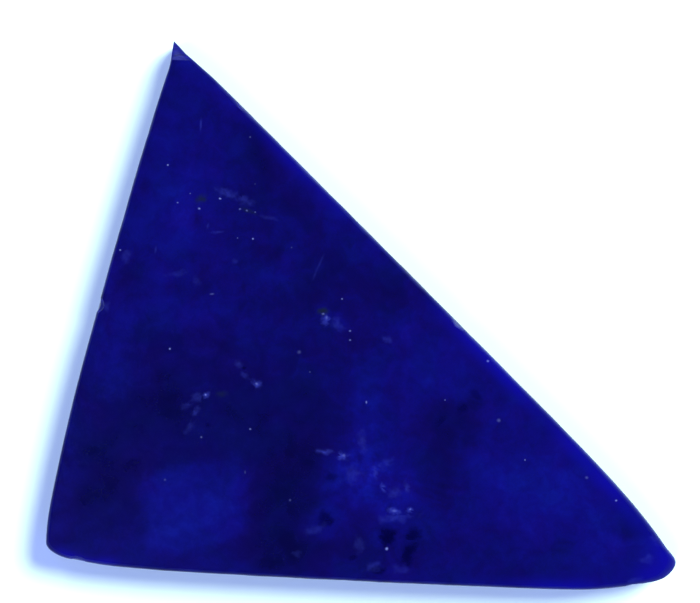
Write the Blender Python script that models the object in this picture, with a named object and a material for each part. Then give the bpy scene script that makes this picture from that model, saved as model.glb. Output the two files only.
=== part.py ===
"""A thin polished slab of lapis lazuli, cut as a triangle with bowed sides.

The slab lies on its sawn back with its polished face up (+Z). The origin is on the plane
it rests on, under the middle of its bounding box. Lengths here are in millimetres, and
the scene is in metres. Run it with: blender --background --python part.py
"""

import math
from typing import NamedTuple

import bmesh
import bpy
from mathutils import Matrix, Vector
from mathutils.geometry import interpolate_bezier

MM = 0.001
STONE_NAME = "lapis_slab"

# Thickness of the slab, and how its polished face falls away from its high point
THICKNESS = 3.2
FACE_DROP = 0.34
FACE_DROP_AT = 20.0
HIGH_POINT = Vector((-2.4, -3.6))

# The rim: a rounded upper edge, a wall that leans out a little, and a sawn lower arris
ROUND_WIDTH = 0.26
ROUND_HEIGHT = 0.22
ROUND_STEPS = 4
WALL_LEAN = 0.07
WALL_BELLY_AT = 1.5
ARRIS_WIDTH = 0.28
ARRIS_HEIGHT = 0.25

# The rim is crisper at the sharp tip, and reaches its full softness this far from it
TIP_SOFTNESS = 0.4
SOFT_FROM_TIP = 5.5

# Rings that carry the face from the rim towards the middle of the triangle
INSET_CENTRE = Vector((-7.55, -4.3))
INSET_RADIUS = 11.6
FACE_RINGS = 9
LAST_RING = 0.16
OUTLINE_STEP = 0.58
FEWEST_STEPS = 4

POLISHED_BLUE = (0.0045, 0.0045, 0.150, 1.0)
POLISH_ROUGHNESS = 0.22
SMOOTH_BELOW = math.radians(28.0)


class Turn(NamedTuple):
    """A point that the outline passes, its heading there in degrees, and its handles."""

    x: float
    y: float
    arrives: float
    leaves: float
    handle_in: float
    handle_out: float


def smooth(x, y, heading, handle_in, handle_out):
    """A turn that the outline passes without a corner."""
    return Turn(x, y, heading, heading, handle_in, handle_out)


# The outline seen from above, anticlockwise from the sharp tip at the back
OUTLINE = (
    Turn(-11.90, 17.41, 134.0, -99.0, 0.3, 0.5),
    smooth(-12.05, 16.10, -100.0, 0.4, 0.4),
    smooth(-12.41, 14.96, -109.0, 0.4, 3.4),
    smooth(-15.84, 3.50, -106.0, 3.6, 6.4),
    smooth(-19.68, -11.78, -101.5, 5.4, 0.9),
    smooth(-20.00, -14.40, -90.0, 0.8, 0.35),
    smooth(-19.35, -15.15, -30.0, 0.3, 0.6),
    smooth(-16.64, -15.78, -8.5, 1.1, 2.0),
    smooth(-10.91, -16.28, -3.4, 2.0, 6.0),
    smooth(7.55, -17.19, -2.3, 6.0, 2.6),
    smooth(14.40, -17.41, 0.5, 2.0, 1.0),
    smooth(17.74, -17.07, 10.0, 1.0, 0.6),
    smooth(19.42, -16.60, 37.0, 0.5, 0.25),
    smooth(20.00, -15.72, 92.0, 0.35, 0.35),
    smooth(19.32, -14.66, 123.5, 0.4, 3.0),
    smooth(12.33, -6.69, 134.5, 3.6, 6.0),
    smooth(-9.10, 14.80, 135.4, 6.0, 0.6),
    Turn(-11.12, 16.57, 140.0, 130.0, 0.7, 0.3),
)


class Chip(NamedTuple):
    """A shell-shaped chip: its place on the outline, height, ball radius, depth and tilt."""

    x: float
    y: float
    z: float
    radius: float
    depth: float
    tilt: float


# Chips along the softened upper edge (tilt up) and along the sawn lower arris (tilt down)
CHIPS = {
    "chip_at_the_toe": Chip(17.20, -17.15, 1.95, 1.1, 0.20, 20.0),
    "chip_at_the_heel": Chip(-17.90, -15.55, 2.60, 0.9, 0.15, 50.0),
    "chip_on_the_long_side": Chip(6.20, -0.45, 2.70, 0.8, 0.15, 50.0),
    "chip_near_the_tip": Chip(-7.50, 13.20, 2.70, 0.5, 0.13, 50.0),
    "chip_on_the_short_side": Chip(-16.45, 0.60, 2.75, 0.5, 0.13, 50.0),
    "chip_under_the_heel": Chip(-13.20, -16.08, 0.15, 1.3, 0.18, -45.0),
    "chip_under_the_toe": Chip(9.40, -17.27, 0.12, 1.6, 0.20, -45.0),
    "chip_under_the_short_side": Chip(-15.35, 5.20, 0.12, 1.5, 0.22, -45.0),
    "chip_under_the_long_side": Chip(-1.50, 7.20, 0.12, 1.4, 0.20, -45.0),
}

# The tip is broken off along a plane that rises forward from it and meets the face here
BREAK_LINE_Y = 16.35
BREAK_DEPTH = 0.17
BREAK_SLOPE = 33.0
BREAK_BLOCK = 4.0


def clear_scene():
    for obj in list(bpy.data.objects):
        bpy.data.objects.remove(obj)


def collection(name):
    made = bpy.data.collections.new(name)
    bpy.context.scene.collection.children.link(made)
    return made


def outline_points():
    """The outline as points in millimetres, about one step apart, with none repeated."""
    points = []
    for here, there in zip(OUTLINE, OUTLINE[1:] + OUTLINE[:1]):
        start = Vector((here.x, here.y))
        end = Vector((there.x, there.y))
        leave = math.radians(here.leaves)
        arrive = math.radians(there.arrives)
        first = start + here.handle_out * Vector((math.cos(leave), math.sin(leave)))
        second = end - there.handle_in * Vector((math.cos(arrive), math.sin(arrive)))
        steps = max(FEWEST_STEPS, round((end - start).length / OUTLINE_STEP))
        points += interpolate_bezier(start, first, second, end, steps + 1)[:-1]
    return points


def outward(x, y):
    """The level direction that points out of the outline at a place on it."""
    points = outline_points()
    place = Vector((x, y))
    nearest = min(range(len(points)), key=lambda n: (points[n] - place).length)
    along = points[(nearest + 1) % len(points)] - points[nearest - 1]
    return Vector((along.y, -along.x)).normalized()


def face_height(x, y):
    """Height of the polished face over a point, which falls away from its high point."""
    away = (Vector((x, y)) - HIGH_POINT).length
    return THICKNESS - FACE_DROP * (away / FACE_DROP_AT) ** 2


def softness(point):
    """Share of the rim's full roundness at a place on the outline: less near the tip."""
    tip = OUTLINE[0]
    away = min(1.0, (point - Vector((tip.x, tip.y))).length / SOFT_FROM_TIP)
    return TIP_SOFTNESS + (1.0 - TIP_SOFTNESS) * away


def rim_profile():
    """(inset, height above the bottom or None, depth below the face or None) per ring."""
    rings = [
        (ARRIS_WIDTH, 0.0, None),
        (WALL_LEAN * 0.6, ARRIS_HEIGHT, None),
        (0.0, WALL_BELLY_AT, None),
    ]
    for step in range(ROUND_STEPS + 1):
        angle = math.radians(90.0 * step / ROUND_STEPS)
        inset = WALL_LEAN + (ROUND_WIDTH - WALL_LEAN) * (1.0 - math.cos(angle))
        rings.append((inset, None, ROUND_HEIGHT * (1.0 - math.sin(angle))))
    return rings


def face_profile():
    """Rings evenly spaced from the rounded edge to the last one, on the face itself."""
    outermost = 1.0 - ROUND_WIDTH / INSET_RADIUS
    shares = [outermost + (LAST_RING - outermost) * n / FACE_RINGS for n in range(1, FACE_RINGS + 1)]
    return [((1.0 - share) * INSET_RADIUS, None, 0.0) for share in shares]


def place_ring(verts, points, ring):
    """Moves one ring's vertices to their inset and height."""
    inset, height, depth = ring
    for vert, point in zip(verts, points):
        soft = softness(point) if inset <= ROUND_WIDTH else 1.0
        share = 1.0 - soft * inset / INSET_RADIUS
        x, y = INSET_CENTRE + share * (point - INSET_CENTRE)
        z = height if height is not None else face_height(x, y) - soft * depth
        vert.co = Vector((x, y, z)) * MM


def ring_above(verts, made):
    """The extruded vertices, in the order of those that they were extruded from."""
    return [next(e.other_vert(v) for e in v.link_edges if e.other_vert(v) in made) for v in verts]


def slab_mesh():
    """The whole slab: its sawn back, then ring after ring extruded up the rim and in."""
    points = outline_points()
    rings = rim_profile() + face_profile()
    bm = bmesh.new()
    verts = [bm.verts.new((p.x * MM, p.y * MM, 0.0)) for p in points]
    place_ring(verts, points, rings[0])
    back = bm.faces.new(verts)
    back.normal_flip()
    edges = [bm.edges.get((a, b)) for a, b in zip(verts, verts[1:] + verts[:1])]
    for ring in rings[1:]:
        made = bmesh.ops.extrude_edge_only(bm, edges=edges)["geom"]
        edges = [e for e in made if isinstance(e, bmesh.types.BMEdge) and e.is_boundary]
        verts = ring_above(verts, {v for v in made if isinstance(v, bmesh.types.BMVert)})
        place_ring(verts, points, ring)
    bm.faces.new(verts)
    bmesh.ops.recalc_face_normals(bm, faces=bm.faces)
    bmesh.ops.triangulate(bm, faces=bm.faces)
    mesh = bpy.data.meshes.new(STONE_NAME)
    bm.to_mesh(mesh)
    bm.free()
    return mesh


def hide_as_cutter(obj):
    obj.hide_render = True
    obj.display_type = "WIRE"


def chip_cutter(name, chip, cutters):
    """A ball that bites into the rim as deep as the chip is, tilted up or down from level."""
    bm = bmesh.new()
    bmesh.ops.create_icosphere(bm, subdivisions=4, radius=chip.radius * MM)
    mesh = bpy.data.meshes.new(name)
    bm.to_mesh(mesh)
    bm.free()
    cutter = bpy.data.objects.new(name, mesh)
    level = math.cos(math.radians(chip.tilt)) * outward(chip.x, chip.y)
    way_out = Vector((level.x, level.y, math.sin(math.radians(chip.tilt))))
    place = Vector((chip.x, chip.y, chip.z)) + (chip.radius - chip.depth) * way_out
    cutter.location = place * MM
    cutters.objects.link(cutter)
    hide_as_cutter(cutter)
    return cutter


def tip_cutter(cutters):
    """A block whose lower side is the plane that the tip broke along."""
    bm = bmesh.new()
    bmesh.ops.create_cube(bm, size=BREAK_BLOCK * MM)
    bmesh.ops.translate(bm, verts=bm.verts, vec=Vector((0.0, 0.0, BREAK_BLOCK / 2 * MM)))
    bmesh.ops.rotate(bm, verts=bm.verts, matrix=Matrix.Rotation(-math.radians(BREAK_SLOPE), 3, "X"))
    mesh = bpy.data.meshes.new("broken_tip")
    bm.to_mesh(mesh)
    bm.free()
    cutter = bpy.data.objects.new("broken_tip", mesh)
    tip = OUTLINE[0]
    height = face_height(tip.x, BREAK_LINE_Y) - BREAK_DEPTH
    cutter.location = Vector((tip.x, BREAK_LINE_Y, height)) * MM
    cutters.objects.link(cutter)
    hide_as_cutter(cutter)
    return cutter


def cut(stone, cutter):
    modifier = stone.modifiers.new(cutter.name, "BOOLEAN")
    modifier.operation = "DIFFERENCE"
    modifier.solver = "EXACT"
    modifier.object = cutter


def lapis_material():
    material = bpy.data.materials.new("polished_lapis")
    material.use_nodes = True
    shader = material.node_tree.nodes["Principled BSDF"]
    shader.inputs["Base Color"].default_value = POLISHED_BLUE
    shader.inputs["Roughness"].default_value = POLISH_ROUGHNESS
    shader.inputs["Metallic"].default_value = 0.0
    return material


def main():
    clear_scene()
    stones = collection("lapis_lazuli_stone")
    cutters = collection("cutters")
    mesh = slab_mesh()
    mesh.materials.append(lapis_material())
    mesh.shade_smooth()
    mesh.set_sharp_from_angle(angle=SMOOTH_BELOW)
    stone = bpy.data.objects.new(STONE_NAME, mesh)
    stones.objects.link(stone)
    cut(stone, tip_cutter(cutters))
    for name, chip in CHIPS.items():
        cut(stone, chip_cutter(name, chip, cutters))


main()
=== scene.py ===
"""Looks of the polished lapis lazuli slab: its fine surface, its stone and the studio."""

import math
from typing import NamedTuple

import bmesh
import bpy
import numpy as np
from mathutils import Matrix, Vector, noise
from mathutils.geometry import interpolate_bezier


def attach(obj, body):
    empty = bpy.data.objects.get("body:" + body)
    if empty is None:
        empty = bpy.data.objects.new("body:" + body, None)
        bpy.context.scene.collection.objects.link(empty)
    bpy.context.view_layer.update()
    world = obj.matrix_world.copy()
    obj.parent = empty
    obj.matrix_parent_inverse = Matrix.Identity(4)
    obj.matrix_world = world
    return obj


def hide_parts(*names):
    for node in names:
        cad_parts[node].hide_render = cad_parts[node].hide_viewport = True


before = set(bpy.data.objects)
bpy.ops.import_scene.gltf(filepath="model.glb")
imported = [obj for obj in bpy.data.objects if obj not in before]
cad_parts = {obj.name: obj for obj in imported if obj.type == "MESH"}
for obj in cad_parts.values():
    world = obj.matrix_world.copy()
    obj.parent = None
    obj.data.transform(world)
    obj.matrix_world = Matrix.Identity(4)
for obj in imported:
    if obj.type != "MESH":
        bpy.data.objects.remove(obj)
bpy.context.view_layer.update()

MM = 0.001

# The photograph: its width and height, one pixel's size on the stone, and the stone's middle
PHOTO_WIDTH = 700
PHOTO_HEIGHT = 603
PIXEL = 40.0 / 628.2
STONE_MIDDLE = (361.4, 315.0)

# The camera looks straight down, its distance counted from the stone's widest outline
LENS = 100.0
SENSOR = 36.0
NEAREST_SEEN = 0.005
WIDEST_HEIGHT = 1.5
CAMERA_DISTANCE = PHOTO_WIDTH * PIXEL * LENS / SENSOR
CAMERA_X = (PHOTO_WIDTH / 2 - STONE_MIDDLE[0]) * PIXEL
CAMERA_Y = (STONE_MIDDLE[1] - PHOTO_HEIGHT / 2) * PIXEL

# The slab, as it was cut: its thickness and the fall of its polished face
THICKNESS = 3.2
FACE_DROP = 0.34
FACE_DROP_AT = 20.0
HIGH_POINT = Vector((-2.4, -3.6))

# The rim: a rounded upper edge, a ground wall and a sawn lower arris
ROUND_WIDTH = 0.26
ROUND_HEIGHT = 0.22
WALL_LEAN = 0.07
WALL_TOP = 2.45
ARRIS_WIDTH = 0.28
ARRIS_HEIGHT = 0.25
ARRIS_SHARES = ((1.0, 0.0), (0.5, 0.2), (0.2, 0.6))
TIP_SOFTNESS = 0.4
SOFT_FROM_TIP = 5.5

# How finely the surface is laid out, from the rim in to the middle of the triangle
INSET_CENTRE = Vector((-7.55, -4.3))
INSET_RADIUS = 11.6
OUTLINE_STEP = 0.15
FEWEST_STEPS = 4
WALL_RINGS = 12
ROUND_RINGS = 14
FACE_RINGS = 36
RING_CROWDING = 1.35
LAST_SHARE = 0.05

# The tip is broken off along a plane that meets the face here
BREAK_LINE_Y = 16.35
BREAK_DEPTH = 0.17
BREAK_SLOPE = math.radians(33.0)
BREAK_STEP = 0.11
BREAK_STEPS = 14
WELD_BELOW = 1e-5

# Unevenness of hand-worked and broken surfaces: each is a height and how many to a millimetre
BREAK_RIPPLES = ((0.05, 2.6), (0.03, 6.0))
CHIP_RIPPLES = ((0.03, 5.0),)
WALL_RIPPLES = ((0.022, 0.55), (0.010, 1.9))
WALL_GROUND_IN = 0.02
SHARP_ABOVE = math.radians(35.0)


class Turn(NamedTuple):
    """A point that the outline passes, its heading there in degrees, and its handles."""

    x: float
    y: float
    arrives: float
    leaves: float
    handle_in: float
    handle_out: float


def smooth(x, y, heading, handle_in, handle_out):
    """A turn that the outline passes without a corner."""
    return Turn(x, y, heading, heading, handle_in, handle_out)


# The outline seen from above, anticlockwise from the sharp tip at the back
OUTLINE = (
    Turn(-11.90, 17.41, 134.0, -99.0, 0.3, 0.5),
    smooth(-12.05, 16.10, -100.0, 0.4, 0.4),
    smooth(-12.41, 14.96, -109.0, 0.4, 3.4),
    smooth(-15.84, 3.50, -106.0, 3.6, 6.4),
    smooth(-19.68, -11.78, -101.5, 5.4, 0.9),
    smooth(-20.00, -14.40, -90.0, 0.8, 0.35),
    smooth(-19.35, -15.15, -30.0, 0.3, 0.6),
    smooth(-16.64, -15.78, -8.5, 1.1, 2.0),
    smooth(-10.91, -16.28, -3.4, 2.0, 6.0),
    smooth(7.55, -17.19, -2.3, 6.0, 2.6),
    smooth(14.40, -17.41, 0.5, 2.0, 1.0),
    smooth(17.74, -17.07, 10.0, 1.0, 0.6),
    smooth(19.42, -16.60, 37.0, 0.5, 0.25),
    smooth(20.00, -15.72, 92.0, 0.35, 0.35),
    smooth(19.32, -14.66, 123.5, 0.4, 3.0),
    smooth(12.33, -6.69, 134.5, 3.6, 6.0),
    smooth(-9.10, 14.80, 135.4, 6.0, 0.6),
    Turn(-11.12, 16.57, 140.0, 130.0, 0.7, 0.3),
)


class Chip(NamedTuple):
    """A shell-shaped chip: its place on the outline, height, ball radius, depth and tilt."""

    x: float
    y: float
    z: float
    radius: float
    depth: float
    tilt: float


CHIPS = (
    Chip(17.20, -17.15, 1.95, 1.1, 0.20, 20.0),
    Chip(-17.90, -15.55, 2.60, 0.9, 0.15, 50.0),
    Chip(6.20, -0.45, 2.70, 0.8, 0.15, 50.0),
    Chip(-7.50, 13.20, 2.70, 0.5, 0.13, 50.0),
    Chip(-16.45, 0.60, 2.75, 0.5, 0.13, 50.0),
    Chip(-13.20, -16.08, 0.15, 1.3, 0.18, -45.0),
    Chip(9.40, -17.27, 0.12, 1.6, 0.20, -45.0),
    Chip(-15.35, 5.20, 0.12, 1.5, 0.22, -45.0),
    Chip(-1.50, 7.20, 0.12, 1.4, 0.20, -45.0),
)


class Oval(NamedTuple):
    """An oval of mineral under the face: its middle, half sizes, turn and strength."""

    x: float
    y: float
    length: float
    width: float
    turn: float
    strength: float


# Soft clouds in the blue, paler where the strength is above zero and darker below it
CLOUDS = (
    # Wide changes across the whole face
    Oval(11.6, -11.0, 9.0, 6.0, -35.0, 0.17),
    Oval(17.0, -15.0, 4.0, 3.0, 0.0, 0.1),
    Oval(-11.3, 8.2, 8.0, 4.0, 75.0, 0.12),
    Oval(-9.5, -6.5, 13.0, 10.0, 0.0, -0.1),
    Oval(-16.6, -11.2, 3.4, 2.2, 75.0, -0.12),
    Oval(-13.2, -6.6, 4.0, 2.2, 10.0, -0.05),
    Oval(-4.3, -14.4, 4.2, 1.6, -3.0, -0.17),
    Oval(-3.6, -9.4, 3.0, 1.6, 90.0, -0.08),
    Oval(-3.5, 0.5, 8.0, 5.0, -45.0, -0.05),
    Oval(4.6, -3.0, 6.0, 3.4, -45.0, 0.1),
    Oval(-15.2, -0.8, 3.8, 2.6, 75.0, 0.11),
    Oval(-15.6, -8.7, 5.2, 3.2, 78.0, -0.14),
    Oval(-5.0, -11.8, 7.0, 2.9, 93.0, -0.21),
    Oval(-5.6, -5.6, 4.6, 3.2, 20.0, -0.1),
    Oval(-12.6, -5.4, 3.8, 2.4, 100.0, -0.09),
    Oval(5.6, -7.4, 4.6, 2.2, 60.0, -0.2),
    Oval(-1.2, -15.2, 4.4, 1.6, -3.0, -0.14),
    Oval(-6.6, 9.8, 4.6, 2.4, 115.0, -0.13),
    Oval(-2.0, 3.6, 4.4, 2.6, 130.0, -0.07),
    # Left side, from the tip down to the heel
    Oval(-10.9, 15.4, 1.5, 0.9, -35.0, 0.14),
    Oval(-9.0, 13.9, 2.6, 1.0, 134.0, 0.16),
    Oval(-10.9, 8.9, 2.3, 1.3, 75.0, 0.09),
    Oval(-11.4, 5.9, 1.9, 1.2, 60.0, 0.1),
    Oval(-11.6, 2.4, 2.2, 0.8, 8.0, 0.08),
    Oval(-11.4, 0.3, 3.0, 1.2, -4.0, 0.1),
    Oval(-14.4, 2.2, 1.7, 1.2, 70.0, -0.13),
    Oval(-16.0, -3.3, 1.8, 1.3, 70.0, 0.09),
    Oval(-12.4, -4.6, 2.4, 1.6, 100.0, -0.09),
    Oval(-14.3, -9.0, 1.4, 0.9, -15.0, -0.12),
    Oval(-16.9, -8.4, 0.9, 0.7, 0.0, -0.1),
    Oval(-17.5, -11.4, 1.3, 1.0, 60.0, -0.14),
    Oval(-15.6, -13.1, 1.3, 1.0, -30.0, -0.13),
    Oval(-18.3, -8.4, 1.9, 0.5, 79.0, 0.1),
    # Upper middle and the long slope
    Oval(-6.3, 9.0, 3.4, 2.0, 105.0, -0.09),
    Oval(-3.9, 6.5, 1.7, 1.2, 130.0, -0.1),
    Oval(-5.8, 4.2, 0.95, 0.75, 20.0, -0.16),
    Oval(-13.3, 8.2, 0.8, 0.5, 80.0, -0.13),
    Oval(-10.3, 5.9, 1.0, 0.5, 70.0, -0.15),
    Oval(-7.8, 2.1, 0.6, 0.4, 60.0, -0.14),
    Oval(-5.4, 3.0, 2.4, 0.9, 14.0, 0.09),
    Oval(1.4, 1.2, 2.7, 2.0, -40.0, -0.17),
    Oval(-3.8, 1.3, 0.9, 0.6, 40.0, -0.13),
    Oval(3.7, -0.9, 1.2, 0.6, -10.0, -0.11),
    Oval(-2.1, -0.5, 2.0, 1.0, -25.0, 0.12),
    Oval(-8.5, -2.2, 2.1, 0.9, 0.0, -0.12),
    Oval(-3.7, -5.6, 3.0, 1.7, -30.0, -0.11),
    Oval(0.4, -4.6, 2.4, 1.2, 80.0, 0.1),
    # Round the pale cluster and along the bottom
    Oval(-3.4, -8.3, 2.6, 1.3, 95.0, -0.12),
    Oval(-6.2, -15.1, 1.8, 0.7, -3.0, -0.12),
    Oval(5.3, -10.6, 1.7, 0.65, 92.0, -0.14),
    Oval(7.1, -5.2, 0.8, 0.5, 60.0, -0.16),
    Oval(12.4, -14.9, 2.0, 0.8, 5.0, -0.12),
    Oval(16.7, -13.6, 1.4, 1.1, 0.0, -0.15),
    Oval(8.9, -12.4, 2.6, 1.9, 10.0, 0.05),
    Oval(12.7, -11.8, 2.6, 1.9, 20.0, 0.06),
    Oval(1.4, -14.3, 1.6, 0.8, -4.0, 0.1),
)

# The paler square near the heel, with firmer edges
SQUARE = (
    Oval(-10.3, -11.9, 3.9, 3.05, 13.0, 0.11),
    Oval(-11.2, -11.6, 2.6, 2.2, 13.0, 0.05),
    Oval(-9.2, -13.0, 2.2, 1.4, 20.0, 0.03),
)

# The cluster where calcite clouds the blue
CLUSTER = (
    Oval(0.2, -8.2, 3.6, 1.8, 82.0, 0.11),
    Oval(1.0, -6.6, 1.9, 1.2, 100.0, 0.06),
    Oval(1.2, -10.4, 3.2, 2.2, 20.0, 0.11),
    Oval(-1.0, -10.6, 2.9, 2.1, 85.0, 0.09),
    Oval(2.1, -12.0, 2.3, 1.3, 8.0, 0.09),
    Oval(-1.6, -9.4, 1.6, 2.1, 0.0, 0.06),
    Oval(-0.6, -12.4, 2.2, 1.0, -10.0, 0.05),
)

# Ragged pale flecks of calcite
FLECKS = (
    # The streak above the middle, with its tail
    Oval(-8.35, 7.62, 1.0, 0.42, -22.0, 0.22),
    Oval(-7.25, 7.12, 1.05, 0.4, -16.0, 0.17),
    Oval(-5.95, 6.15, 0.75, 0.18, -14.0, 0.11),
    Oval(-11.6, 2.6, 0.88, 0.27, 6.0, 0.11),
    Oval(-10.3, 2.1, 0.5, 0.3, -50.0, 0.11),
    Oval(-14.85, 3.7, 0.62, 0.47, 70.0, 0.13),
    Oval(-16.15, 0.5, 0.44, 0.34, 70.0, 0.14),
    Oval(-8.0, 3.4, 0.28, 0.27, 0.0, 0.13),
    # Beside the brassy grain
    Oval(-2.3, -0.25, 0.5, 0.49, -20.0, 0.45),
    Oval(-1.6, -0.55, 0.94, 0.47, -25.0, 0.17),
    Oval(1.6, -1.5, 0.53, 0.3, -20.0, 0.17),
    # The loose group left of the middle
    Oval(-6.6, -4.3, 0.48, 0.32, -38.0, 0.48),
    Oval(-7.3, -3.85, 0.56, 0.22, -45.0, 0.18),
    Oval(-7.75, -3.1, 0.38, 0.35, 0.0, 0.17),
    Oval(-9.8, -5.0, 0.34, 0.27, 60.0, 0.48),
    Oval(-10.4, -5.2, 0.62, 0.47, 30.0, 0.17),
    Oval(-11.0, -5.7, 0.56, 0.41, 20.0, 0.14),
    Oval(-10.4, -6.15, 0.56, 0.32, 75.0, 0.23),
    Oval(-10.8, -7.0, 0.62, 0.34, 60.0, 0.13),
    # In the calcite cluster
    Oval(-2.3, -8.55, 0.68, 0.24, -8.0, 0.45),
    Oval(-1.1, -8.85, 0.48, 0.39, -20.0, 0.53),
    Oval(0.0, -8.0, 0.38, 1.01, 0.0, 0.17),
    Oval(0.85, -9.75, 0.28, 0.68, 0.0, 0.26),
    Oval(-0.5, -9.9, 0.88, 0.68, 30.0, 0.15),
    Oval(1.6, -9.3, 0.88, 0.47, 25.0, 0.15),
    Oval(1.3, -10.8, 0.25, 0.46, 20.0, 0.45),
    Oval(2.8, -10.85, 0.22, 0.47, 10.0, 0.25),
    Oval(2.0, -11.2, 0.69, 0.47, -10.0, 0.17),
    Oval(2.1, -12.3, 0.62, 0.37, -10.0, 0.56),
    Oval(3.05, -12.25, 0.34, 0.29, 30.0, 0.51),
    Oval(2.2, -12.75, 1.5, 0.38, 4.0, 0.2),
    Oval(-2.9, -13.4, 0.88, 0.41, 20.0, 0.14),
    # Near the bottom edge and at the toe
    Oval(0.75, -15.7, 0.81, 0.47, 10.0, 0.17),
    Oval(-0.2, -14.4, 0.75, 0.47, 80.0, 0.13),
    Oval(2.5, -16.0, 0.62, 0.38, 0.0, 0.11),
    Oval(-4.0, -15.0, 0.44, 0.41, 0.0, 0.13),
    Oval(18.4, -14.1, 0.62, 0.34, 120.0, 0.17),
    Oval(18.0, -15.4, 0.62, 0.41, 20.0, 0.17),
    Oval(17.3, -16.75, 0.56, 0.34, 10.0, 0.23),
)

# Thin pale threads
THREADS = (
    Oval(-10.12, 12.05, 0.62, 0.1, 87.0, 0.25),
    Oval(-2.75, 2.97, 1.35, 0.12, 66.0, 0.11),
    Oval(-9.05, 5.22, 0.75, 0.13, 4.0, 0.15),
    Oval(-9.65, 5.6, 0.3, 0.13, 80.0, 0.18),
    Oval(-12.95, 4.15, 0.3, 0.1, 85.0, 0.16),
    Oval(19.55, -15.2, 0.3, 0.09, 130.0, 0.31),
)

# Bright specks, some no wider than a hair
SPECKS = (
    Oval(-12.19, 9.44, 0.09, 0.08, 0.0, 1.0),
    Oval(-7.01, 11.2, 0.07, 0.07, 0.0, 0.45),
    Oval(-7.42, 13.1, 0.11, 0.08, 45.0, 0.74),
    Oval(-11.56, 7.08, 0.08, 0.07, 0.0, 0.57),
    Oval(-10.78, 7.65, 0.07, 0.06, 0.0, 0.41),
    Oval(-10.21, 6.71, 0.12, 0.09, -20.0, 0.74),
    Oval(-8.89, 7.33, 0.11, 0.08, -20.0, 1.0),
    Oval(-7.64, 6.67, 0.11, 0.08, 20.0, 0.45),
    Oval(-7.2, 6.58, 0.11, 0.08, -30.0, 0.49),
    Oval(-6.69, 6.47, 0.08, 0.07, 0.0, 0.41),
    Oval(-6.69, 8.25, 0.06, 0.06, 0.0, 0.16),
    Oval(-7.79, 4.85, 0.06, 0.06, 0.0, 0.41),
    Oval(-6.82, 4.79, 0.09, 0.08, 0.0, 1.0),
    Oval(-4.4, 4.25, 0.07, 0.07, 0.0, 0.2),
    Oval(-9.4, 1.33, 0.2, 0.09, 5.0, 0.23),
    Oval(-15.18, 4.1, 0.09, 0.08, 0.0, 0.74),
    Oval(-1.23, 1.02, 0.08, 0.07, 0.0, 0.74),
    Oval(-2.42, 0.08, 0.14, 0.09, 0.0, 0.49),
    Oval(-2.2, -0.15, 0.11, 0.18, 0.0, 0.29),
    Oval(-0.72, -0.99, 0.1, 0.08, 0.0, 0.66),
    Oval(-0.72, -1.56, 0.1, 0.08, 0.0, 0.57),
    Oval(-12.04, -2.12, 0.09, 0.09, 0.0, 1.0),
    Oval(-3.93, -2.31, 0.18, 0.17, 0.0, 0.18),
    Oval(-3.24, -3.57, 0.06, 0.06, 0.0, 0.33),
    Oval(-6.6, -4.3, 0.14, 0.1, -38.0, 0.45),
    Oval(-9.8, -5.0, 0.09, 0.09, 0.0, 0.74),
    Oval(-7.01, -7.15, 0.1, 0.09, 0.0, 0.61),
    Oval(-10.06, -7.66, 0.09, 0.09, 0.0, 0.41),
    Oval(-12.35, -10.36, 0.11, 0.11, 0.0, 0.2),
    Oval(-7.32, -9.86, 0.08, 0.14, 0.0, 0.16),
    Oval(-4.49, -11.62, 0.11, 0.11, 0.0, 0.23),
    Oval(0.31, -5.46, 0.08, 0.14, 0.0, 0.66),
    Oval(5.25, -5.33, 0.06, 0.06, 0.0, 0.57),
    Oval(7.93, -2.88, 0.12, 0.1, 0.0, 1.0),
    Oval(8.61, -6.59, 0.18, 0.16, 0.0, 0.25),
    Oval(10.28, -9.1, 0.07, 0.09, 0.0, 0.57),
    Oval(14.17, -10.23, 0.15, 0.14, 0.0, 0.25),
    Oval(16.03, -11.68, 0.11, 0.09, 0.0, 1.0),
    Oval(-1.1, -8.8, 0.16, 0.14, 0.0, 0.25),
    Oval(2.05, -12.3, 0.2, 0.13, 0.0, 0.25),
    Oval(3.05, -12.2, 0.11, 0.09, 40.0, 0.37),
    Oval(1.57, -14.69, 0.14, 0.13, 0.0, 1.0),
)

# Grains of pyrite, dulled to olive
PYRITE = (
    Oval(-2.45, 0.24, 0.52, 0.34, 10.0, 1.0),
    Oval(-10.12, 7.25, 0.56, 0.4, 25.0, 0.72),
    Oval(-8.8, -5.0, 0.5, 0.32, 0.0, 0.4),
    Oval(-7.1, 6.55, 0.7, 0.2, -25.0, 0.4),
)

# Dark inky grains beside the calcite
DARK_GRAINS = (
    Oval(-2.25, -12.75, 0.8, 0.66, -70.0, 0.72),
    Oval(1.6, -14.05, 0.92, 0.76, 80.0, 0.92),
    Oval(3.2, -13.8, 0.8, 0.54, 10.0, 0.79),
    Oval(2.95, -15.0, 1.12, 0.68, 70.0, 0.84),
    Oval(1.0, -16.0, 0.61, 0.41, 0.0, 0.63),
    Oval(-1.9, -10.2, 0.52, 0.41, 0.0, 0.47),
    Oval(1.7, -12.1, 0.42, 0.29, 60.0, 0.47),
    Oval(-0.5, -15.2, 0.42, 0.25, 20.0, 0.47),
    Oval(6.35, -5.85, 0.52, 0.39, 30.0, 0.47),
    Oval(7.15, -4.95, 0.61, 0.35, -35.0, 0.42),
    Oval(5.0, -6.55, 0.56, 0.35, 50.0, 0.42),
    Oval(-14.3, -9.25, 0.56, 0.39, -10.0, 0.32),
    Oval(-16.9, -8.6, 0.47, 0.39, 20.0, 0.26),
    Oval(-7.4, -3.3, 0.2, 0.15, 0.0, 0.58),
    Oval(-9.7, -6.9, 0.28, 0.21, 0.0, 0.47),
)

# Marks with outlines of their own, by the name of the layer that holds them
MARKS = {
    "flecks": FLECKS,
    "threads": THREADS,
    "specks": SPECKS,
    "brass": PYRITE,
    "dark_grains": DARK_GRAINS,
}

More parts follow.
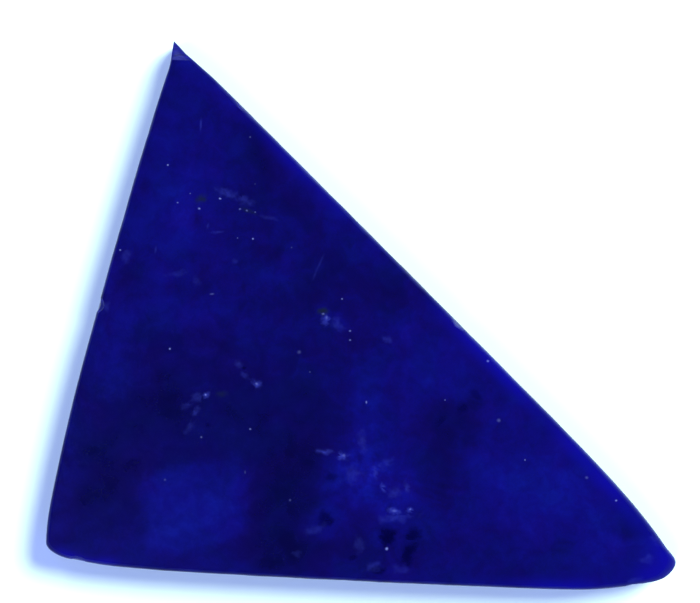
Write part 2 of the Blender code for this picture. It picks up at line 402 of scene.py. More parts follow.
# How deep the minerals, and the painted light on the rim, reach below the face
CLOUD_DEPTH = 2.2
PAINTED_RIM_LIGHT_DEPTH = 5.0
MARK_DEPTH = 0.6

# How far the clouds are stirred, by how many swirls to a millimetre
CLOUD_STIR = 1.1
SQUARE_STIR = 0.6
CLOUD_SWIRL = 0.45
SWIRL_SEED = 8

# The share of an oval over which it fades out, and how square its corners are
CLOUD_FADE = 1.0
CLUSTER_FADE = 0.55
SQUARE_FADE = 0.2
ROUND = 2.0
NEARLY_SQUARE = 4.0

# Painted light: where the thin rim's blue is painted brighter, as light falling into it makes it
PAINTED_RIM_LIGHTS = (
    Oval(19.0, -15.5, 3.4, 3.0, 30.0, 0.5),
    Oval(14.5, -10.8, 7.0, 3.2, 132.0, 0.5),
    Oval(8.0, -2.8, 8.0, 3.0, 134.0, 0.45),
    Oval(-3.6, 9.4, 9.0, 2.4, 135.0, 0.3),
    Oval(12.5, -17.2, 5.5, 1.6, 0.0, 0.38),
    Oval(-17.0, -15.6, 3.0, 1.2, -8.0, 0.5),
)


def outline_points():
    """The outline as points in millimetres, about one step apart, with none repeated."""
    points = []
    for here, there in zip(OUTLINE, OUTLINE[1:] + OUTLINE[:1]):
        start = Vector((here.x, here.y))
        end = Vector((there.x, there.y))
        leave = math.radians(here.leaves)
        arrive = math.radians(there.arrives)
        first = start + here.handle_out * Vector((math.cos(leave), math.sin(leave)))
        second = end - there.handle_in * Vector((math.cos(arrive), math.sin(arrive)))
        steps = max(FEWEST_STEPS, round((end - start).length / OUTLINE_STEP))
        points += interpolate_bezier(start, first, second, end, steps + 1)[:-1]
    return points


POINTS = outline_points()


def outward(x, y):
    """The level direction that points out of the outline at a place on it."""
    place = Vector((x, y))
    nearest = min(range(len(POINTS)), key=lambda n: (POINTS[n] - place).length)
    along = POINTS[(nearest + 1) % len(POINTS)] - POINTS[nearest - 1]
    return Vector((along.y, -along.x)).normalized()


def softness(point):
    """Share of the rim's full roundness at a place on the outline: less near the tip."""
    tip = Vector((OUTLINE[0].x, OUTLINE[0].y))
    away = min(1.0, (point - tip).length / SOFT_FROM_TIP)
    return TIP_SOFTNESS + (1.0 - TIP_SOFTNESS) * away


def face_height(x, y):
    """Height of the polished face over a place, which falls away from its high point."""
    away = ((x - HIGH_POINT.x) ** 2 + (y - HIGH_POINT.y) ** 2) / FACE_DROP_AT**2
    return THICKNESS - FACE_DROP * away


def rim_profile():
    """(inset, height above the bottom or None, depth below the face or None) per ring."""
    rings = [(ARRIS_WIDTH * inset, ARRIS_HEIGHT * rise, None) for inset, rise in ARRIS_SHARES]
    for step in range(WALL_RINGS):
        share = step / WALL_RINGS
        height = ARRIS_HEIGHT + share * (WALL_TOP - ARRIS_HEIGHT)
        rings.append((WALL_LEAN * (2.0 * share - 1.0) ** 2, height, None))
    for step in range(ROUND_RINGS + 1):
        angle = math.radians(90.0 * step / ROUND_RINGS)
        inset = WALL_LEAN + (ROUND_WIDTH - WALL_LEAN) * (1.0 - math.cos(angle))
        rings.append((inset, None, ROUND_HEIGHT * (1.0 - math.sin(angle))))
    return rings


def face_profile():
    """Rings from the rounded edge to the last one, closer together near the edge."""
    outermost = 1.0 - ROUND_WIDTH / INSET_RADIUS
    rings = []
    for step in range(1, FACE_RINGS + 1):
        share = outermost + (LAST_SHARE - outermost) * (step / FACE_RINGS) ** RING_CROWDING
        rings.append(((1.0 - share) * INSET_RADIUS, None, 0.0))
    return rings


def place_ring(verts, ring, from_edge):
    """Moves one ring's vertices to their inset and height, and keeps how far in they are."""
    inset, height, depth = ring
    for vert, point in zip(verts, POINTS):
        soft = softness(point) if inset <= ROUND_WIDTH else 1.0
        share = 1.0 - soft * inset / INSET_RADIUS
        x, y = INSET_CENTRE + share * (point - INSET_CENTRE)
        z = height if height is not None else face_height(x, y) - soft * depth
        vert.co = Vector((x, y, z))
        vert[from_edge] = inset if height is None else 0.0


def ring_above(verts, made):
    """The extruded vertices, in the order of those that they were extruded from."""
    return [next(e.other_vert(v) for e in v.link_edges if e.other_vert(v) in made) for v in verts]


def slab_shape():
    """The slab in millimetres: its sawn back, then ring after ring up the rim and in."""
    bm = bmesh.new()
    from_edge = bm.verts.layers.float.new("from_edge")
    rings = rim_profile() + face_profile()
    verts = [bm.verts.new((p.x, p.y, 0.0)) for p in POINTS]
    place_ring(verts, rings[0], from_edge)
    bm.faces.new(verts)
    edges = [bm.edges.get((a, b)) for a, b in zip(verts, verts[1:] + verts[:1])]
    for ring in rings[1:]:
        made = bmesh.ops.extrude_edge_only(bm, edges=edges)["geom"]
        edges = [e for e in made if isinstance(e, bmesh.types.BMEdge) and e.is_boundary]
        verts = ring_above(verts, {v for v in made if isinstance(v, bmesh.types.BMVert)})
        place_ring(verts, ring, from_edge)
    bm.faces.new(verts)
    bmesh.ops.recalc_face_normals(bm, faces=bm.faces)
    return bm


def cut_along(bm, faces, at, way, **settings):
    """Cuts faces along a plane, and gives back the cut's new geometry and all that is left."""
    verts = dict.fromkeys(v for f in faces for v in f.verts)
    edges = dict.fromkeys(e for f in faces for e in f.edges)
    geometry = [*verts, *edges, *faces]
    return bmesh.ops.bisect_plane(
        bm, geom=geometry, dist=WELD_BELOW, plane_co=at, plane_no=way, **settings
    )


def ripple(place, ripples):
    """How far ripples of several sizes lift a place together."""
    return sum(height * noise.noise(place * often) for height, often in ripples)


def break_tip(bm, broken):
    """Cuts off what stands above the plane that the tip broke along, and roughens the break."""
    tip = OUTLINE[0]
    start = Vector((tip.x, BREAK_LINE_Y, face_height(tip.x, BREAK_LINE_Y) - BREAK_DEPTH))
    way_out = Vector((0.0, math.sin(BREAK_SLOPE), math.cos(BREAK_SLOPE)))
    cut = cut_along(bm, bm.faces, start, way_out, clear_outer=True)
    rim = [e for e in cut["geom_cut"] if isinstance(e, bmesh.types.BMEdge)]
    rim_verts = {v for e in rim for v in e.verts}
    cap = bmesh.ops.contextual_create(bm, geom=rim)["faces"]
    for axis in (Vector((1.0, 0.0, 0.0)), Vector((0.0, 1.0, 0.0))):
        for step in range(-BREAK_STEPS, BREAK_STEPS + 1):
            made = cut_along(bm, cap, start + step * BREAK_STEP * axis, axis)
            cap = [f for f in made["geom"] if isinstance(f, bmesh.types.BMFace)]
    for vert in {v for f in cap for v in f.verts} - rim_verts:
        if all(f in cap for f in vert.link_faces):
            vert.co += way_out * ripple(vert.co, BREAK_RIPPLES)
    for face in cap:
        face[broken] = 1.0


def chip_rim(bm, broken):
    """Dents the rim with the ball of each chip."""
    for chip in CHIPS:
        level = math.cos(math.radians(chip.tilt)) * outward(chip.x, chip.y)
        way_out = Vector((level.x, level.y, math.sin(math.radians(chip.tilt))))
        centre = Vector((chip.x, chip.y, chip.z)) + (chip.radius - chip.depth) * way_out
        dented = {v for v in bm.verts if (v.co - centre).length < chip.radius}
        for vert in dented:
            radius = chip.radius * (1.0 + ripple(vert.co, CHIP_RIPPLES))
            vert.co = centre + radius * (vert.co - centre).normalized()
            vert.co.z = max(0.0, vert.co.z)
        for face in {f for v in dented for f in v.link_faces}:
            if dented.issuperset(face.verts):
                face[broken] = 1.0


def grind_wall(bm, from_edge):
    """The wall was ground by hand, so it is a little uneven along its length."""
    for vert in bm.verts:
        if vert[from_edge] > ROUND_WIDTH or vert.co.z < ARRIS_HEIGHT:
            continue
        away = Vector((vert.co.x, vert.co.y)) - INSET_CENTRE
        move = away.normalized() * (ripple(vert.co, WALL_RIPPLES) - WALL_GROUND_IN)
        vert.co += Vector((move.x, move.y, 0.0))


def read(items, name, width, kind=np.float32):
    """One property of all of a mesh's items, as an array with a row for each."""
    values = np.empty(len(items) * width, dtype=kind)
    items.foreach_get(name, values)
    return values.reshape(-1, width)


def in_ovals(places, ovals):
    """How far along and across an oval a place is, in shares of its half length and width."""
    x, y, length, width, turn, _ = np.array(ovals).T
    turn = np.radians(turn)
    right = places[..., 0] - x
    back = places[..., 1] - y
    along = (right * np.cos(turn) + back * np.sin(turn)) / length
    across = (back * np.cos(turn) - right * np.sin(turn)) / width
    return along, across


def near_face(places, depth):
    """1 on the polished face, fading to 0 at a depth below it."""
    below = face_height(places[..., 0], places[..., 1]) - places[..., 2]
    return np.clip(1.0 - below / depth, 0.0, 1.0)


def lay_clouds(mesh, name, ovals, fade, depth, stir=CLOUD_STIR, squareness=ROUND):
    """Adds up the strengths of the ovals that each vertex lies in, as they fade to their rims."""
    places = read(mesh.vertices, "co", 3) / MM
    noise.seed_set(SWIRL_SEED)
    swirls = np.array([noise.noise_vector(Vector(p) * CLOUD_SWIRL) for p in places])
    places = places + stir * swirls
    along, across = in_ovals(places[:, None], ovals)
    far = (np.abs(along) ** squareness + np.abs(across) ** squareness) ** (1.0 / squareness)
    share = np.clip((1.0 - far) / fade, 0.0, 1.0)
    strength = np.array(ovals)[:, 5]
    total = (share * share * (3.0 - 2.0 * share) * strength).sum(axis=1)
    layer = mesh.attributes.new(name, "FLOAT", "POINT")
    layer.data.foreach_set("value", (total * near_face(places, depth)).astype(np.float32))


def lay_marks(mesh, name, ovals, depth):
    """Gives each face's corners their places in the oval nearest to it, and its strength."""
    middles = read(mesh.polygons, "center", 3) / MM
    along, across = in_ovals(middles[:, None], ovals)
    nearest = np.hypot(along, across).argmin(axis=1)
    corners = read(mesh.polygons, "loop_total", 1, np.int32)[:, 0]
    ovals = np.array(ovals)[np.repeat(nearest, corners)]
    verts = read(mesh.loops, "vertex_index", 1, np.int32)[:, 0]
    places = read(mesh.vertices, "co", 3)[verts] / MM
    along, across = in_ovals(places, ovals)
    values = np.stack((along, across, ovals[:, 5] * near_face(places, depth)), axis=1)
    layer = mesh.attributes.new(name, "FLOAT_VECTOR", "CORNER")
    layer.data.foreach_set("vector", values.astype(np.float32).ravel())


def paint(mesh):
    """Lays the minerals that show in the face, the paler square and the painted light on the rim on
    its mesh, for the stone's material.
    """
    lay_clouds(mesh, "clouds", CLOUDS, CLOUD_FADE, CLOUD_DEPTH)
    lay_clouds(mesh, "square", SQUARE, SQUARE_FADE, CLOUD_DEPTH, SQUARE_STIR, NEARLY_SQUARE)
    lay_clouds(mesh, "cluster", CLUSTER, CLUSTER_FADE, CLOUD_DEPTH)
    # Painted light: the brighter blue of the rim, laid like the clouds
    lay_clouds(mesh, "painted_rim_light", PAINTED_RIM_LIGHTS, CLOUD_FADE, PAINTED_RIM_LIGHT_DEPTH)
    for name, ovals in MARKS.items():
        lay_marks(mesh, name, ovals, MARK_DEPTH)


def slab_piece(material):
    bm = slab_shape()
    broken = bm.faces.layers.float.new("broken")
    from_edge = bm.verts.layers.float["from_edge"]
    grind_wall(bm, from_edge)
    break_tip(bm, broken)
    chip_rim(bm, broken)
    bmesh.ops.triangulate(bm, faces=[f for f in bm.faces if len(f.verts) > 4])
    bmesh.ops.scale(bm, vec=(MM, MM, MM), verts=bm.verts)
    mesh = bpy.data.meshes.new("polished_slab")
    bm.to_mesh(mesh)
    bm.free()
    mesh.shade_smooth()
    mesh.set_sharp_from_angle(angle=SHARP_ABOVE)
    paint(mesh)
    mesh.materials.append(material)
    piece = bpy.data.objects.new("polished_slab", mesh)
    bpy.context.scene.collection.objects.link(piece)
    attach(piece, "root")
    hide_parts("lapis_slab")
    return piece


def add(tree, kind, inputs=None, **settings):
    """A new node with its settings, and with values or links on its inputs."""
    made = tree.nodes.new(kind)
    for name, value in settings.items():
        setattr(made, name, value)
    for socket, value in (inputs or {}).items():
        if isinstance(value, bpy.types.NodeSocket):
            tree.links.new(value, made.inputs[socket])
        else:
            made.inputs[socket].default_value = value
    return made


def number(tree, operation, *terms):
    """The result of one sum on numbers or sockets."""
    return add(tree, "ShaderNodeMath", dict(enumerate(terms)), operation=operation).outputs[0]


def eased(tree, value, low, high, to_low=0.0, to_high=1.0):
    """A value eased from one range into another."""
    inputs = {"Value": value, "From Min": low, "From Max": high}
    inputs |= {"To Min": to_low, "To Max": to_high}
    node = add(tree, "ShaderNodeMapRange", inputs, interpolation_type="SMOOTHSTEP")
    return node.outputs["Result"]


def blended(tree, share, one, other, blend_type="MIX"):
    """One colour blended with another by a share."""
    inputs = {0: share, 6: one, 7: other}
    return add(tree, "ShaderNodeMix", inputs, data_type="RGBA", blend_type=blend_type).outputs[2]


class Pattern(NamedTuple):
    """A noise pattern: how many to a millimetre, its octaves and their strength."""

    scale: float
    detail: float = 2.0
    roughness: float = 0.5


def noise_at(tree, place, pattern):
    inputs = {"Vector": place, "Scale": pattern.scale, "Detail": pattern.detail}
    return add(tree, "ShaderNodeTexNoise", inputs | {"Roughness": pattern.roughness})


def stirred(tree, place, pattern, amount):
    """Places moved about by up to half the amount, so that what is laid there is ragged."""
    swirl = noise_at(tree, place, pattern).outputs["Color"]
    inputs = {0: swirl, 1: (amount,) * 3, 2: (-amount / 2,) * 3}
    move = add(tree, "ShaderNodeVectorMath", inputs, operation="MULTIPLY_ADD").outputs[0]
    return add(tree, "ShaderNodeVectorMath", {0: place, 1: move}, operation="ADD").outputs[0]


def stretched(tree, place, turn, scale):
    """Places turned about the upright and stretched, for what runs in one direction."""
    inputs = {"Vector": place, "Rotation": (0.0, 0.0, math.radians(turn)), "Scale": scale}
    return add(tree, "ShaderNodeMapping", inputs).outputs["Vector"]


def colour_steps(tree, value, steps):
    """A colour read from steps, each a value and its colour."""
    node = add(tree, "ShaderNodeValToRGB", {"Fac": value})
    elements = node.color_ramp.elements
    while len(elements) < len(steps):
        elements.new(1.0)
    for element, (at, colour) in zip(elements, steps):
        element.position = at
        element.color = (*colour, 1.0)
    return node.outputs["Color"]


def new_group(name, inputs, outputs):
    """An empty shader node group, with the sockets of its inputs and its outputs."""
    group = bpy.data.node_groups.new(name, "ShaderNodeTree")
    for side, sockets in (("INPUT", inputs), ("OUTPUT", outputs)):
        for label, kind in sockets.items():
            group.interface.new_socket(label, in_out=side, socket_type=kind)
    given = group.nodes.new("NodeGroupInput").outputs
    result = group.nodes.new("NodeGroupOutput").inputs
    return group, given, result


NUMBER = "NodeSocketFloat"
DIRECTION = "NodeSocketVector"
NOISE_MIDDLE = (0.5, 0.5, 0.5)


def mark_group():
    """A mark's mask, from places in its oval that a stir pulls out of shape."""
    inputs = {"Local": DIRECTION, "Stir": DIRECTION, "Raggedness": NUMBER, "Softness": NUMBER}
    group, given, result = new_group("mark in the stone", inputs, {"Mask": NUMBER})
    stir = {0: given["Stir"], 1: NOISE_MIDDLE}
    stir = add(group, "ShaderNodeVectorMath", stir, operation="SUBTRACT").outputs[0]
    moved = {0: stir, 1: given["Raggedness"], 2: given["Local"]}
    moved = add(group, "ShaderNodeVectorMath", moved, operation="MULTIPLY_ADD").outputs[0]
    split = add(group, "ShaderNodeSeparateXYZ", {"Vector": moved}).outputs
    level = add(group, "ShaderNodeCombineXYZ", {"X": split["X"], "Y": split["Y"]}).outputs[0]
    far = add(group, "ShaderNodeVectorMath", {0: level}, operation="LENGTH").outputs["Value"]
    inner = number(group, "SUBTRACT", 1.0, given["Softness"])
    mask = eased(group, far, inner, 1.0, 1.0, 0.0)
    strength = add(group, "ShaderNodeSeparateXYZ", {"Vector": given["Local"]}).outputs["Z"]
    group.links.new(number(group, "MULTIPLY", mask, strength), result["Mask"])
    return group


def mark(tree, group, name, stir):
    """The mask of one layer of marks."""
    raggedness, fade = MARK_EDGES[name]
    local = add(tree, "ShaderNodeAttribute", attribute_name=name).outputs["Vector"]
    inputs = {"Local": local, "Stir": stir, "Raggedness": raggedness, "Softness": fade}
    return add(tree, "ShaderNodeGroup", inputs, node_tree=group).outputs["Mask"]


def layer(tree, name):
    """A number that the mesh carries."""
    return add(tree, "ShaderNodeAttribute", attribute_name=name).outputs["Fac"]


# The blue, from the darkest clouds to the palest calcite haze
BLUE_STEPS = (
    (0.00, (0.0016, 0.0013, 0.028)),
    (0.25, (0.0026, 0.0017, 0.052)),
    (0.45, (0.0033, 0.0023, 0.092)),
    (0.62, (0.0038, 0.0038, 0.135)),
    (0.80, (0.0070, 0.0090, 0.205)),
    (1.00, (0.0200, 0.0290, 0.320)),
)

# Its drift in hue, from violet to a greener blue
TINT_STEPS = (
    (0.36, (1.25, 0.90, 0.98)),
    (0.50, (1.0, 1.0, 1.0)),
    (0.66, (0.90, 1.30, 1.0)),
)

# Where the tone lies among the blues, and how far each pattern swings it
TONE = 0.328
BROAD_SWING = 0.28
MOTTLE_SWING = 0.40
GRAIN_SWING = 0.14
SQUARE_HUE = 0.5

# Patterns in the stone, from the widest to the finest
BROAD = Pattern(0.30)
HUE_DRIFT = Pattern(0.42, 3.0)
DRIFT = Pattern(0.55, 3.0)
DRIFT_AMOUNT = 1.9
MOTTLE = Pattern(1.15, 4.0, 0.6)
BLOTCHES = Pattern(1.35, 3.0)
STIR = Pattern(1.7, 3.0, 0.55)
FINE = Pattern(3.2, 4.0, 0.62)
GRAIN = Pattern(9.0, 2.0, 0.6)

# Patterns that run in one direction: the noise and how it is stretched along X, Y and Z
WALL_DUST = Pattern(1.0, 4.0, 0.65)
WALL_DUST_STRETCH = (0.5, 0.5, 7.0)
WALL_LINES = Pattern(1.0, 3.0, 0.6)
WALL_LINE_STRETCH = (0.35, 0.35, 11.0)
BREAK_STREAKS = Pattern(1.0, 3.0, 0.6)
BREAK_STREAK_STRETCH = (0.8, 3.6, 1.4)
SCRATCHES = Pattern(1.0, 3.0)
SCRATCH_STRETCH = (0.5, 16.0, 1.0)
SCRATCH_TURN = 28.0
SAW_MARK_SCALE = 0.95
SAW_MARK_STRETCH = (1.0, 1.0, 0.0)

# How patterns are eased into strengths: from low, from high, to low, to high
LUMPS = (0.36, 0.64, 0.55, 1.35)
BROKEN_UP = (0.36, 0.60, 0.65, 1.15)
DUST = (0.35, 0.66, 0.18, 0.75)
DUST_PATCHES = (0.3, 0.7, 0.6, 1.2)
CRUSHED = (0.42, 0.60, 0.25, 1.0)
SCRATCHED = (0.60, 0.72)
WALL_EDGE = (0.16, 0.34, 1.0, 0.0)
BACK_EDGE = (0.01, 0.09, 1.0, 0.0)
# The band of painted light on the rim, and how unevenly it is painted
PAINTED_RIM_LIGHT_BAND = (0.1, 1.25, 1.0, 0.0)
PAINTED_RIM_LIGHT_UNEVEN = 0.8

# How ragged and how soft the outlines of each kind of mark are
MARK_EDGES = {
    "dark_grains": (1.3, 0.7),
    "flecks": (2.2, 1.0),
    "threads": (1.4, 1.0),
    "brass": (1.7, 1.0),
    "specks": (0.9, 1.0),
}

# Roughness of the polish, and what each surface adds to it
POLISH = 0.07
MOTTLE_ROUGHNESS = 0.16
CALCITE_ROUGHNESS = 0.14
WALL_ROUGHNESS = 0.42
BACK_ROUGHNESS = 0.12
BREAK_ROUGHNESS = 0.45
BRASS_METAL = 0.35

# Heights of the relief in millimetres
SCRATCH_RELIEF = -0.0006
MOTTLE_RELIEF = 0.004
CALCITE_RELIEF = -0.004
WALL_RELIEF = 0.030
SAW_RELIEF = 0.012
BREAK_RELIEF = 0.09

# Colours of the minerals
CALCITE = (0.034, 0.036, 0.28, 1.0)
SPECK_WHITE = (0.15, 0.14, 0.36, 1.0)
INK = (0.0006, 0.0005, 0.020, 1.0)
OLIVE = (0.0090, 0.0120, 0.030, 1.0)

# Colours of the painted light on the rim, the breaks, the ground wall and the sawn back
PAINTED_RIM_LIGHT_BLUE = (0.0040, 0.0026, 0.31, 1.0)
FRACTURE = (0.016, 0.013, 0.165, 1.0)
GROUND_BLUE = (0.0060, 0.0065, 0.125, 1.0)
SAWN_BLUE = (0.0095, 0.0110, 0.135, 1.0)


class Surface(NamedTuple):
    """Masks of the stone's differently finished surfaces."""

    edge: bpy.types.NodeSocket
    wall: bpy.types.NodeSocket
    back: bpy.types.NodeSocket
    broken: bpy.types.NodeSocket


def surface_masks(tree, place):
    """Where the stone is ground, sawn or broken, and how far in from its edge a place is."""
    edge = layer(tree, "from_edge")
    height = add(tree, "ShaderNodeSeparateXYZ", {"Vector": place}).outputs["Z"]
    wall = eased(tree, edge, *WALL_EDGE)
    back = eased(tree, height, *BACK_EDGE)
    return Surface(edge, wall, back, layer(tree, "broken"))


class Patterns(NamedTuple):
    """Noise that several of the stone's looks share, and the drifting places that it runs on."""

    drifting: bpy.types.NodeSocket
    mottle: bpy.types.NodeSocket
    fine: bpy.types.NodeSocket


def stone_patterns(tree, place):
    drifting = stirred(tree, place, DRIFT, DRIFT_AMOUNT)
    mottle = noise_at(tree, drifting, MOTTLE).outputs["Fac"]
    fine = noise_at(tree, place, FINE).outputs["Fac"]
    return Patterns(drifting, mottle, fine)


def blue_ground(tree, place, patterns):
    """The blue with its clouds, its square and its calcite haze, before any mark is laid."""
    broad = noise_at(tree, place, BROAD).outputs["Fac"]
    grain = noise_at(tree, place, GRAIN).outputs["Fac"]
    tone = TONE - (BROAD_SWING + MOTTLE_SWING + GRAIN_SWING) / 2
    tone = number(tree, "MULTIPLY_ADD", broad, BROAD_SWING, tone)
    tone = number(tree, "MULTIPLY_ADD", patterns.mottle, MOTTLE_SWING, tone)
    tone = number(tree, "MULTIPLY_ADD", grain, GRAIN_SWING, tone)
    tone = number(tree, "ADD", tone, layer(tree, "clouds"))
    tone = number(tree, "ADD", tone, layer(tree, "square"))
    blotches = noise_at(tree, place, BLOTCHES).outputs["Fac"]
    lumps = eased(tree, blotches, *LUMPS)
    tone = number(tree, "MULTIPLY_ADD", layer(tree, "cluster"), lumps, tone)
    colour = colour_steps(tree, tone, BLUE_STEPS)
    hue = noise_at(tree, patterns.drifting, HUE_DRIFT).outputs["Fac"]
    hue = number(tree, "MULTIPLY_ADD", layer(tree, "square"), SQUARE_HUE, hue)
    return blended(tree, 1.0, colour, colour_steps(tree, hue, TINT_STEPS), "MULTIPLY")


def lay_minerals(tree, place, patterns, colour):
    """The colour with every mark laid in it, and the masks of the pale and the brassy ones."""
    group = mark_group()
    stir = noise_at(tree, place, STIR).outputs["Color"]
    broken_up = eased(tree, patterns.fine, *BROKEN_UP)
    dark = mark(tree, group, "dark_grains", stir)
    colour = blended(tree, dark, colour, INK)
    flecks = number(tree, "MULTIPLY", mark(tree, group, "flecks", stir), broken_up)
    colour = blended(tree, flecks, colour, CALCITE)
    threads = number(tree, "MULTIPLY", mark(tree, group, "threads", stir), broken_up)
    colour = blended(tree, threads, colour, CALCITE)
    brass = mark(tree, group, "brass", stir)
    colour = blended(tree, brass, colour, OLIVE)
    specks = mark(tree, group, "specks", stir)
    colour = blended(tree, specks, colour, SPECK_WHITE)
    pale = number(tree, "MAXIMUM", flecks, specks)
    return colour, pale, brass


def worked_colour(tree, place, patterns, surface, colour):
    """The colour with painted light on its thin rim, its dusty wall and back, and its crushed
    breaks.
    """
    # Painted light: a brighter blue painted on the thin rim where light falls into it
    uneven = number(tree, "MULTIPLY_ADD", patterns.mottle, PAINTED_RIM_LIGHT_UNEVEN, -PAINTED_RIM_LIGHT_UNEVEN / 2)
    rim_light_band = eased(tree, number(tree, "ADD", surface.edge, uneven), *PAINTED_RIM_LIGHT_BAND)
    painted_rim_light = number(tree, "MULTIPLY", rim_light_band, layer(tree, "painted_rim_light"))
    colour = blended(tree, painted_rim_light, colour, PAINTED_RIM_LIGHT_BLUE)
    streaks = noise_at(tree, stretched(tree, place, 0.0, WALL_DUST_STRETCH), WALL_DUST)
    dusty = eased(tree, streaks.outputs["Fac"], *DUST)
    patches = eased(tree, patterns.mottle, *DUST_PATCHES)
    dusty = number(tree, "MULTIPLY", dusty, patches)
    colour = blended(tree, number(tree, "MULTIPLY", surface.wall, dusty), colour, GROUND_BLUE)
    colour = blended(tree, number(tree, "MULTIPLY", surface.back, dusty), colour, SAWN_BLUE)
    steps = noise_at(tree, stretched(tree, place, 0.0, BREAK_STREAK_STRETCH), BREAK_STREAKS)
    crushed = eased(tree, steps.outputs["Fac"], *CRUSHED)
    crushed = number(tree, "MULTIPLY", surface.broken, crushed)
    return blended(tree, crushed, colour, FRACTURE)


def surface_roughness(tree, patterns, surface, pale):
    """Polished above, ground round the wall, sawn below and crushed where it is broken."""
    roughness = number(tree, "MULTIPLY_ADD", patterns.mottle, MOTTLE_ROUGHNESS, POLISH)
    roughness = number(tree, "MULTIPLY_ADD", pale, CALCITE_ROUGHNESS, roughness)
    roughness = number(tree, "MULTIPLY_ADD", surface.wall, WALL_ROUGHNESS, roughness)
    roughness = number(tree, "MULTIPLY_ADD", surface.back, BACK_ROUGHNESS, roughness)
    return number(tree, "MULTIPLY_ADD", surface.broken, BREAK_ROUGHNESS, roughness)


def surface_relief(tree, place, patterns, surface, pale):
    """The normal over scratches, mottling, the wall's lines, the saw's arcs and the breaks."""
    scratches = noise_at(tree, stretched(tree, place, SCRATCH_TURN, SCRATCH_STRETCH), SCRATCHES)
    scratches = eased(tree, scratches.outputs["Fac"], *SCRATCHED)
    height = number(tree, "MULTIPLY", scratches, SCRATCH_RELIEF)
    height = number(tree, "MULTIPLY_ADD", patterns.mottle, MOTTLE_RELIEF, height)
    height = number(tree, "MULTIPLY_ADD", pale, CALCITE_RELIEF, height)
    lines = noise_at(tree, stretched(tree, place, 0.0, WALL_LINE_STRETCH), WALL_LINES)
    lines = number(tree, "MULTIPLY", lines.outputs["Fac"], surface.wall)
    height = number(tree, "MULTIPLY_ADD", lines, WALL_RELIEF, height)
    arcs = {"Vector": stretched(tree, place, 0.0, SAW_MARK_STRETCH), "Scale": SAW_MARK_SCALE}
    saw = add(tree, "ShaderNodeTexWave", arcs, wave_type="RINGS").outputs["Fac"]
    saw = number(tree, "MULTIPLY", saw, surface.back)
    height = number(tree, "MULTIPLY_ADD", saw, SAW_RELIEF, height)
    rough_break = number(tree, "MULTIPLY", patterns.fine, surface.broken)
    height = number(tree, "MULTIPLY_ADD", rough_break, BREAK_RELIEF, height)
    normal = add(tree, "ShaderNodeBump", {"Height": height, "Distance": MM, "Strength": 1.0})
    return normal.outputs["Normal"]


def lapis_material():
    material = bpy.data.materials.new("polished lapis")
    material.use_nodes = True
    tree = material.node_tree
    where = add(tree, "ShaderNodeTexCoord").outputs["Object"]
    place = add(tree, "ShaderNodeVectorMath", {0: where, 3: 1 / MM}, operation="SCALE").outputs[0]
    surface = surface_masks(tree, place)
    patterns = stone_patterns(tree, place)
    blue = blue_ground(tree, place, patterns)
    colour, pale, brass = lay_minerals(tree, place, patterns, blue)
    colour = worked_colour(tree, place, patterns, surface, colour)
    roughness = surface_roughness(tree, patterns, surface, pale)
    normal = surface_relief(tree, place, patterns, surface, pale)
    shader = tree.nodes["Principled BSDF"]
    tree.links.new(colour, shader.inputs["Base Color"])
    tree.links.new(number(tree, "MULTIPLY", brass, BRASS_METAL), shader.inputs["Metallic"])
    tree.links.new(roughness, shader.inputs["Roughness"])
    tree.links.new(normal, shader.inputs["Normal"])
    return material


def plain_material(name, colour, roughness):
    material = bpy.data.materials.new(name)
    material.use_nodes = True
    shader = material.node_tree.nodes["Principled BSDF"]
    shader.inputs["Base Color"].default_value = (*colour, 1.0)
    shader.inputs["Roughness"].default_value = roughness
    shader.inputs["Specular IOR Level"].default_value = 0.0
    return material


FLOOR_SIZE = 1.6
FLOOR_GREY = (0.86, 0.86, 0.86)
FLOOR_ROUGHNESS = 0.9


def lay_floor():
    bm = bmesh.new()
    bmesh.ops.create_grid(bm, x_segments=1, y_segments=1, size=FLOOR_SIZE / 2)
    mesh = bpy.data.meshes.new("floor")
    bm.to_mesh(mesh)
    bm.free()
    mesh.materials.append(plain_material("pale floor", FLOOR_GREY, FLOOR_ROUGHNESS))
    floor = bpy.data.objects.new("floor", mesh)
    bpy.context.scene.collection.objects.link(floor)


class Lamp(NamedTuple):
    """A soft light from far off: its bearing from +X, its rise and its width in degrees."""

    turn: float
    rise: float
    width: float
    strength: float


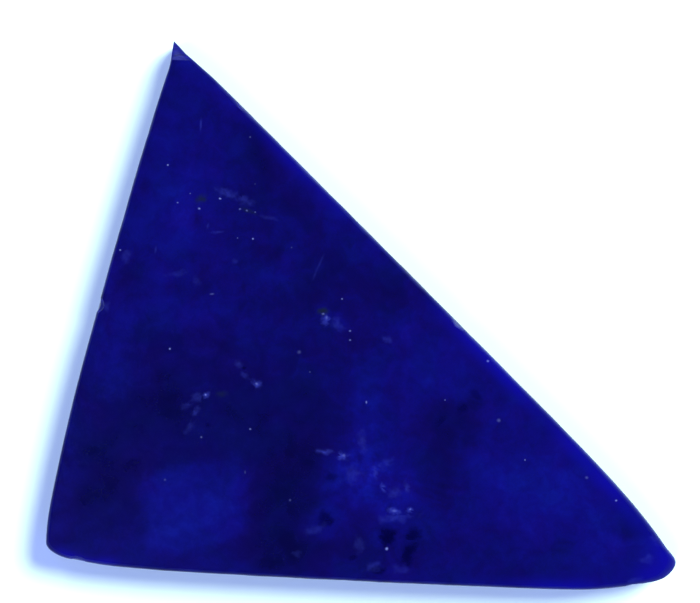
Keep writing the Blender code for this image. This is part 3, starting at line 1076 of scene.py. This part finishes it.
# The key light is at the upper right, a weak one at the lower left, and the cool light of the
# room fills their shadows
KEY = Lamp(38.0, 45.5, 27.0, 5.75)
FILL = Lamp(215.0, 62.0, 30.0, 1.4)
LAMP_COLOUR = (0.735, 1.0, 0.63)
LAMP_DISTANCE = 0.5
ROOM_SIDE = (0.42, 0.60, 3.2, 1.0)
ROOM_GLOSS = (0.40, 0.47, 0.62, 1.0)
ROOM_DARK = (0.0, 0.0, 0.0, 1.0)
ROOM_SEEN = (1.0, 1.0, 1.0, 1.0)
SIDE_RISE = (0.35, 0.85)
GLOSS_RISE = (0.0, 0.7)


def hang_lamp(name, lamp):
    """A lamp that the polish doesn't mirror, as in the photograph."""
    light = bpy.data.lights.new(name, "SUN")
    light.angle = math.radians(lamp.width)
    light.energy = lamp.strength
    light.color = LAMP_COLOUR
    hung = bpy.data.objects.new(name, light)
    hung.visible_glossy = False
    turn = math.radians(lamp.turn)
    rise = math.radians(lamp.rise)
    way = Vector((math.cos(turn) * math.cos(rise), math.sin(turn) * math.cos(rise), math.sin(rise)))
    hung.location = way * LAMP_DISTANCE
    hung.rotation_euler = way.to_track_quat("Z", "Y").to_euler()
    bpy.context.scene.collection.objects.link(hung)


def light_room():
    """Cool light from the sides, while what the polish mirrors fades to dark overhead."""
    world = bpy.data.worlds.new("room")
    world.use_nodes = True
    tree = world.node_tree
    way = add(tree, "ShaderNodeTexCoord").outputs["Generated"]
    rise = add(tree, "ShaderNodeSeparateXYZ", {"Vector": way}).outputs["Z"]
    ray = add(tree, "ShaderNodeLightPath").outputs
    side = blended(tree, eased(tree, rise, *SIDE_RISE), ROOM_SIDE, ROOM_DARK)
    gloss = blended(tree, eased(tree, rise, *GLOSS_RISE), ROOM_GLOSS, ROOM_DARK)
    colour = blended(tree, ray["Is Glossy Ray"], side, gloss)
    colour = blended(tree, ray["Is Camera Ray"], colour, ROOM_SEEN)
    tree.links.new(colour, tree.nodes["Background"].inputs["Color"])
    bpy.context.scene.world = world


def place_camera():
    data = bpy.data.cameras.new("camera")
    data.lens = LENS
    data.sensor_width = SENSOR
    data.clip_start = NEAREST_SEEN
    camera = bpy.data.objects.new("camera", data)
    camera.location = Vector((CAMERA_X, CAMERA_Y, WIDEST_HEIGHT + CAMERA_DISTANCE)) * MM
    bpy.context.scene.collection.objects.link(camera)
    bpy.context.scene.camera = camera


bpy.context.scene.view_settings.view_transform = "Standard"
slab_piece(lapis_material())
lay_floor()
hang_lamp("key_light", KEY)
hang_lamp("fill_light", FILL)
light_room()
place_camera()
